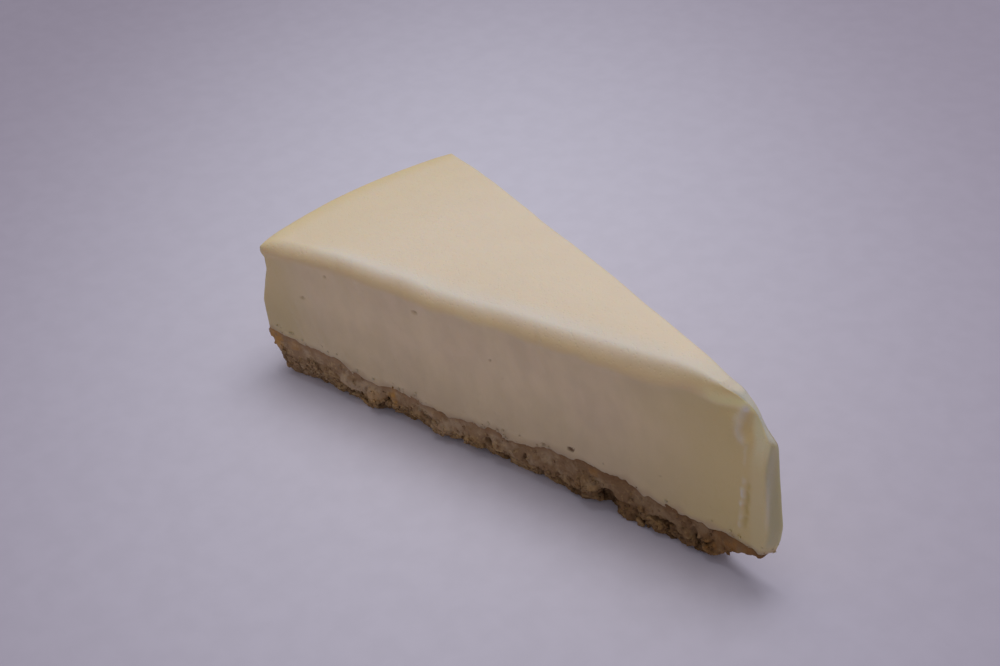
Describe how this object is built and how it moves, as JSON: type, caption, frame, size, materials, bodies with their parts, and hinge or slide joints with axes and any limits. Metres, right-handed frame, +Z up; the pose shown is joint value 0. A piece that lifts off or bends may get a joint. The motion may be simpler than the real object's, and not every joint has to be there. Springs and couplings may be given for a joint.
{
  "type": "cheesecake slice",
  "caption": "Wedge of plain baked cheesecake: smooth pale custard with a softly rounded top edge on a crumbly biscuit base.",
  "frame": {"origin": "centre of the bounding box, on the surface the slice stands on", "axes": "+X from the cake's outer side towards the slice's point, +Z up, +Y towards the back cut"},
  "size_m": [0.1335, 0.0548, 0.0443],
  "materials": {
    "custard": "soft cream custard with a smooth, faintly sheened baked top and a matte knife-cut face",
    "crust": "matte pressed biscuit crumb, ragged and uneven in colour"
  },
  "bodies": {
    "root": {"custard": "custard", "crust": "crust"}
  },
  "joints": []
}
